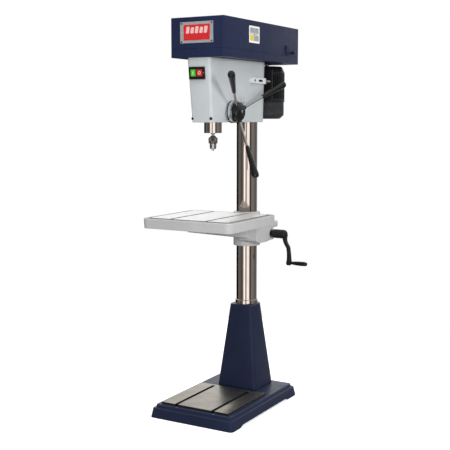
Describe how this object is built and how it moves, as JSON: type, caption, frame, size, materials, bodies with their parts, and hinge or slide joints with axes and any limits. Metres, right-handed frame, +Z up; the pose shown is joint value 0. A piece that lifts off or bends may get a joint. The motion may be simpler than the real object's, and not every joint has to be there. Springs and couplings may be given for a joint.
{
  "type": "drill press",
  "caption": "Floor-standing drill press with belt-driven spindle, keyed chuck, lever quill feed and rack-raised table on a round column.",
  "frame": {"origin": "column axis at the floor plane, under the base", "axes": "+Z up along the column, -Y towards the operator (the front), +X the operator's right"},
  "size_m": [0.478, 0.792, 1.6666],
  "materials": {
    "navy_paint": "gloss enamel over cast iron and pressed steel",
    "grey_paint": "semi-gloss enamel over cast iron, ground faces left bare",
    "black_paint": "satin black enamel",
    "ground_iron": "surface ground",
    "ground_steel": "turned and ground",
    "chrome": "polished",
    "aluminium": "satin",
    "black_plastic": "moulded phenolic",
    "green_plastic": "moulded",
    "red_plastic": "moulded",
    "rubber": "matte"
  },
  "bodies": {
    "stand": {"base_casting": "navy_paint", "foot_bolt_1": "ground_steel", "foot_bolt_2": "ground_steel", "column_foot": "navy_paint", "column_tube": "ground_steel", "rack_ring": "ground_steel", "head_casting": "grey_paint", "cord_gland": "black_plastic", "cover_pan": "navy_paint", "lid_hinge_pin": "ground_steel", "switch_plate": "black_plastic", "spring_cap": "black_paint", "dial_pointer": "ground_steel", "idler_shaft": "ground_steel", "front_belt": "rubber", "rear_belt": "rubber"},
    "rack": {"column_rack": "ground_steel"},
    "table": {"table_bracket": "grey_paint", "table_top": "grey_paint", "table_bolt_1": "ground_steel", "table_bolt_2": "ground_steel", "pinion_bush": "ground_iron"},
    "crank": {"table_pinion": "ground_steel", "table_crank": "black_paint"},
    "crank_grip": {"crank_grip": "black_plastic"},
    "table_lock": {"table_lock_handle": "black_paint"},
    "tension_lock": {"tension_lock_knob": "black_plastic"},
    "lid": {"cover_lid": "navy_paint", "lid_knob": "black_plastic", "badge_plate": "aluminium"},
    "start_button": {"start_button": "green_plastic"},
    "stop_button": {"stop_button": "red_plastic"},
    "quill": {"quill_sleeve": "chrome", "spindle_bearing_lower": "ground_steel", "spindle_bearing_upper": "ground_steel"},
    "spindle": {"spindle_shaft": "ground_steel", "chuck_body": "ground_steel"},
    "chuck_sleeve": {"chuck_sleeve": "ground_steel"},
    "jaw_1": {"chuck_jaw_1": "ground_steel"},
    "jaw_2": {"chuck_jaw_2": "ground_steel"},
    "jaw_3": {"chuck_jaw_3": "ground_steel"},
    "feed": {"feed_pinion_shaft": "ground_steel", "feed_hub": "black_plastic", "feed_lever_rod_1": "chrome", "feed_lever_rod_2": "chrome", "feed_lever_rod_3": "chrome", "feed_lever_grip_1": "black_plastic", "feed_lever_grip_2": "black_plastic", "feed_lever_grip_3": "black_plastic"},
    "dial": {"dial_ring": "chrome"},
    "spindle_pulley": {"spindle_pulley": "aluminium"},
    "idler_pulley": {"idler_pulley": "aluminium"},
    "motor": {"motor_body": "black_paint", "motor_fan_cover": "black_paint", "junction_box": "black_paint", "motor_plate": "black_paint", "slide_bar_left": "ground_steel", "slide_bar_right": "ground_steel"},
    "motor_pulley": {"motor_pulley": "aluminium"}
  },
  "joints": [
    {"name": "table_swing", "type": "hinge", "parent": "stand", "child": "rack", "pos_m": [0, 0, 0.745], "axis": [0, 0, 1], "range_deg": [-180, 180]},
    {"name": "table_lift", "type": "slide", "parent": "rack", "child": "table", "axis": [0, 0, 1], "range_m": [-0.235, 0.145]},
    {"name": "crank_turn", "type": "hinge", "parent": "table", "child": "crank", "pos_m": [0, 0.073, 0.745], "axis": [1, 0, 0], "range_deg": [-900, 560]},
    {"name": "crank_grip_spin", "type": "hinge", "parent": "crank", "child": "crank_grip", "pos_m": [0.22, 0.073, 0.617], "axis": [1, 0, 0], "continuous": true},
    {"name": "table_lock_turn", "type": "hinge", "parent": "table", "child": "table_lock", "pos_m": [-0.02, 0.104, 0.784], "axis": [0, 1, 0], "range_deg": [-60, 60]},
    {"name": "tension_lock_turn", "type": "hinge", "parent": "stand", "child": "tension_lock", "pos_m": [-0.09, -0.02, 1.425], "axis": [1, 0, 0], "range_deg": [0, 720]},
    {"name": "lid_open", "type": "hinge", "parent": "stand", "child": "lid", "pos_m": [-0.13, -0.08, 1.541], "axis": [0, -1, 0], "range_deg": [0, 100]},
    {"name": "start_press", "type": "slide", "parent": "stand", "child": "start_button", "axis": [0, 0.9951, 0.0991], "range_m": [0, 0.003], "stiffness_N_per_m": 600},
    {"name": "stop_press", "type": "slide", "parent": "stand", "child": "stop_button", "axis": [0, 0.9951, 0.0991], "range_m": [0, 0.003], "stiffness_N_per_m": 600},
    {"name": "quill_feed", "type": "slide", "parent": "stand", "child": "quill", "axis": [0, 0, 1], "range_m": [-0.1, 0]},
    {"name": "feed_turn", "type": "hinge", "parent": "stand", "child": "feed", "pos_m": [0, -0.246, 1.29], "axis": [1, 0, 0], "range_deg": [0, 360]},
    {"name": "dial_set", "type": "hinge", "parent": "feed", "child": "dial", "pos_m": [0.07, -0.246, 1.29], "axis": [1, 0, 0], "range_deg": [-170, 170]},
    {"name": "spindle_spin", "type": "hinge", "parent": "quill", "child": "spindle", "pos_m": [0, -0.296, 1.18], "axis": [0, 0, 1], "continuous": true},
    {"name": "chuck_sleeve_turn", "type": "hinge", "parent": "spindle", "child": "chuck_sleeve", "pos_m": [0, -0.296, 1.17], "axis": [0, 0, 1], "range_deg": [0, 180]},
    {"name": "jaw_1_slide", "type": "slide", "parent": "spindle", "child": "jaw_1", "axis": [0, 0.1776, 0.9841], "range_m": [0, 0.004]},
    {"name": "jaw_2_slide", "type": "slide", "parent": "spindle", "child": "jaw_2", "axis": [-0.1538, -0.0888, 0.9841], "range_m": [0, 0.004]},
    {"name": "jaw_3_slide", "type": "slide", "parent": "spindle", "child": "jaw_3", "axis": [0.1538, -0.0888, 0.9841], "range_m": [0, 0.004]},
    {"name": "motor_slide", "type": "slide", "parent": "stand", "child": "motor", "axis": [0, 1, 0], "range_m": [-0.015, 0]},
    {"name": "motor_spin", "type": "hinge", "parent": "motor", "child": "motor_pulley", "pos_m": [0, 0.19, 1.592], "axis": [0, 0, 1], "continuous": true},
    {"name": "idler_spin", "type": "hinge", "parent": "stand", "child": "idler_pulley", "pos_m": [0, -0.068, 1.592], "axis": [0, 0, 1], "continuous": true},
    {"name": "spindle_pulley_spin", "type": "hinge", "parent": "stand", "child": "spindle_pulley", "pos_m": [0, -0.296, 1.592], "axis": [0, 0, 1], "continuous": true}
  ],
  "couplings": [
    {"joint": "crank_turn", "follows": "table_lift", "rad_per_m": 66.667},
    {"joint": "feed_turn", "follows": "quill_feed", "rad_per_m": -62.5},
    {"joint": "idler_spin", "follows": "motor_spin", "ratio": 0.5966},
    {"joint": "spindle_pulley_spin", "follows": "motor_spin", "ratio": 0.4929},
    {"joint": "spindle_spin", "follows": "motor_spin", "ratio": 0.4929},
    {"joint": "jaw_1_slide", "follows": "chuck_sleeve_turn", "m_per_rad": 0.001241},
    {"joint": "jaw_2_slide", "follows": "chuck_sleeve_turn", "m_per_rad": 0.001241},
    {"joint": "jaw_3_slide", "follows": "chuck_sleeve_turn", "m_per_rad": 0.001241}
  ]
}
